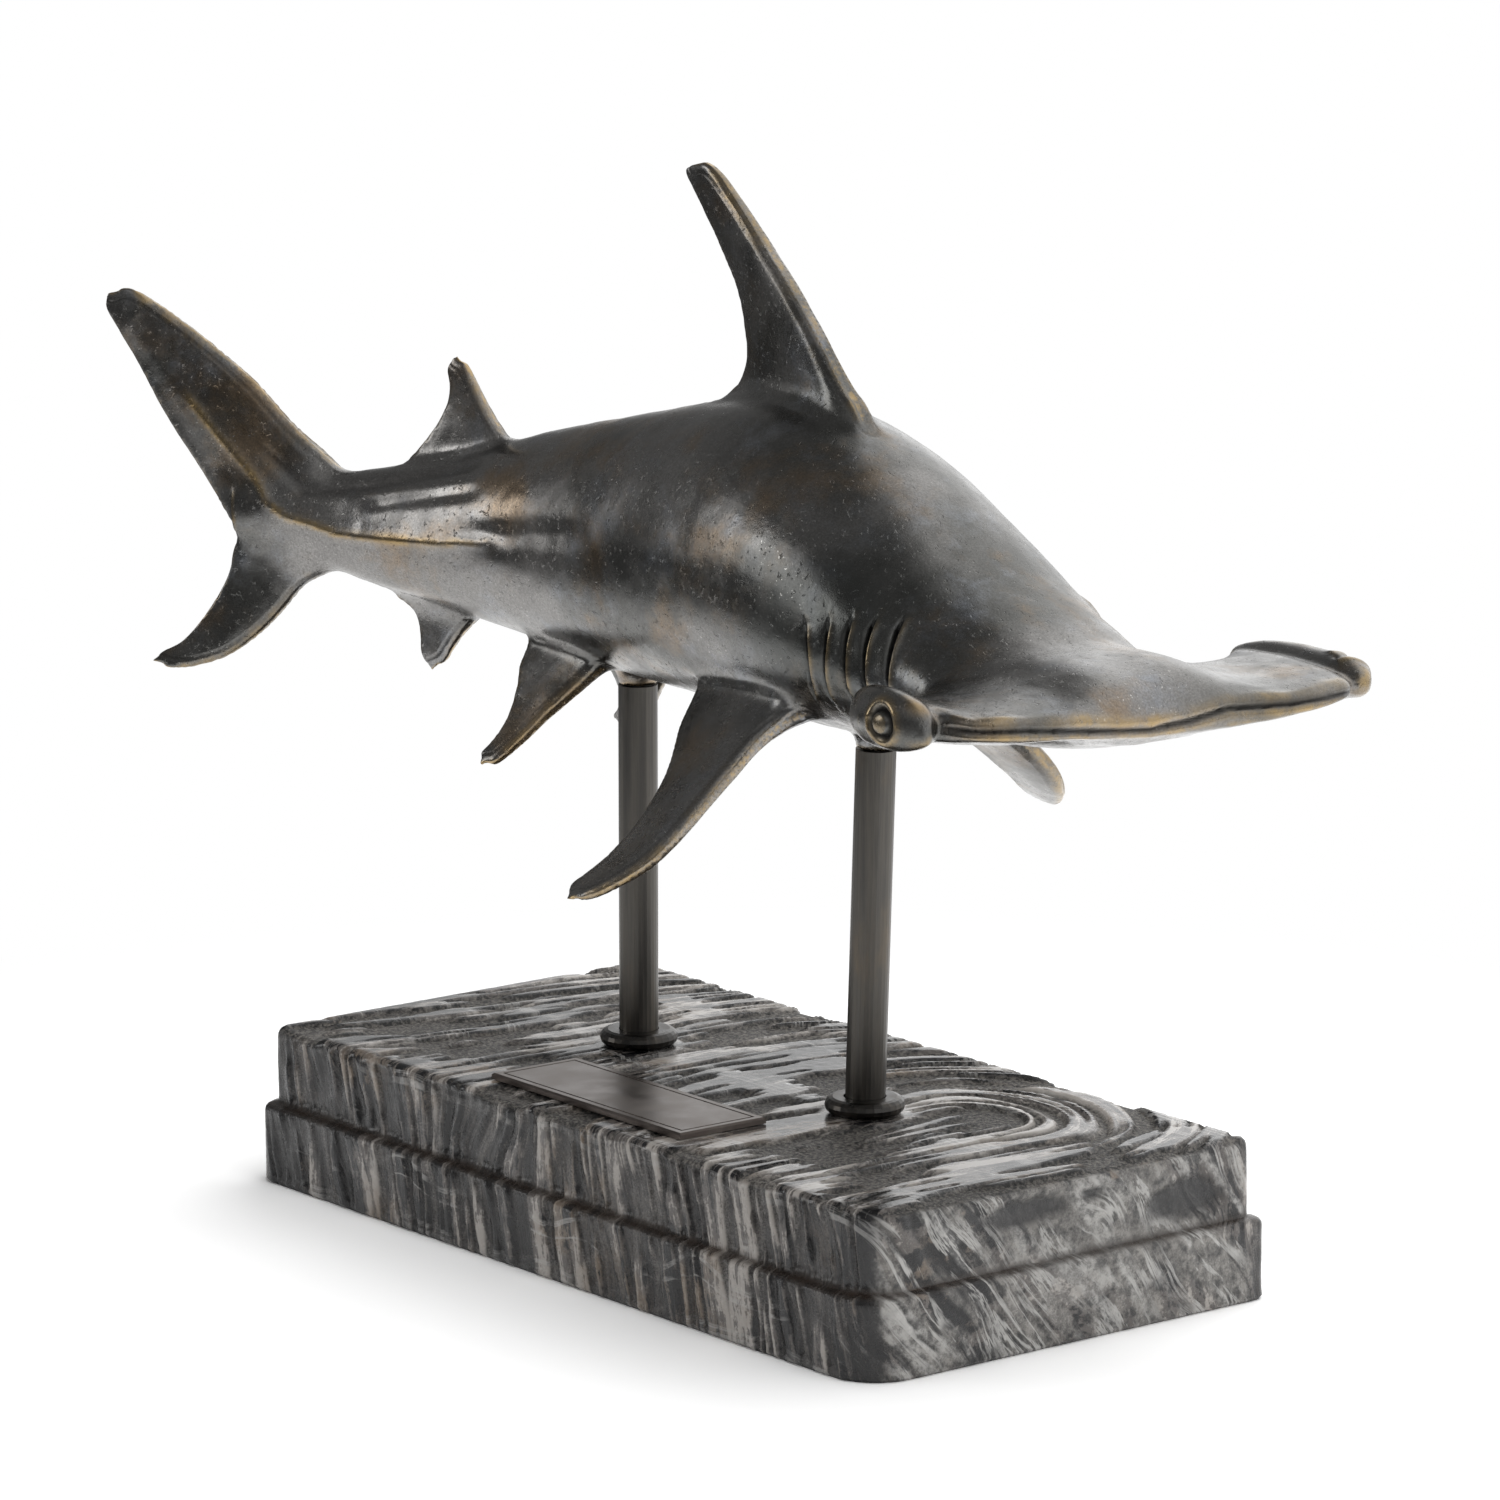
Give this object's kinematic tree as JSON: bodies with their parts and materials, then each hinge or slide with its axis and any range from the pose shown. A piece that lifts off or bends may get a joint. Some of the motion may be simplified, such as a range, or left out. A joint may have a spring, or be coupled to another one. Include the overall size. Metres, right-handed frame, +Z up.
{
  "type": "shark sculpture",
  "caption": "Bronze hammerhead shark figurine, swimming with a curled tail, held on round posts over a carved two-step stone base with a bare metal plaque.",
  "frame": {"origin": "centre of the stone base's underside, on the table", "axes": "+Z up, +X along the base's long side towards the shark's head, -Y towards the side with the plaque"},
  "size_m": [0.5411, 0.2511, 0.4322],
  "materials": {
    "patinated_bronze": "satin",
    "darkened_post": "satin",
    "blackened_collar": "satin",
    "carved_stone": "satin",
    "dark_plaque": "satin",
    "zinc_steel": "satin"
  },
  "bodies": {
    "root": {"shark": "patinated_bronze", "front_post": "darkened_post", "rear_post": "darkened_post", "front_collar": "blackened_collar", "rear_collar": "blackened_collar", "stone_base": "carved_stone", "plaque": "dark_plaque", "front_stud": "zinc_steel", "rear_stud": "zinc_steel", "front_washer": "zinc_steel", "rear_washer": "zinc_steel", "front_nut": "zinc_steel", "rear_nut": "zinc_steel"}
  },
  "joints": []
}
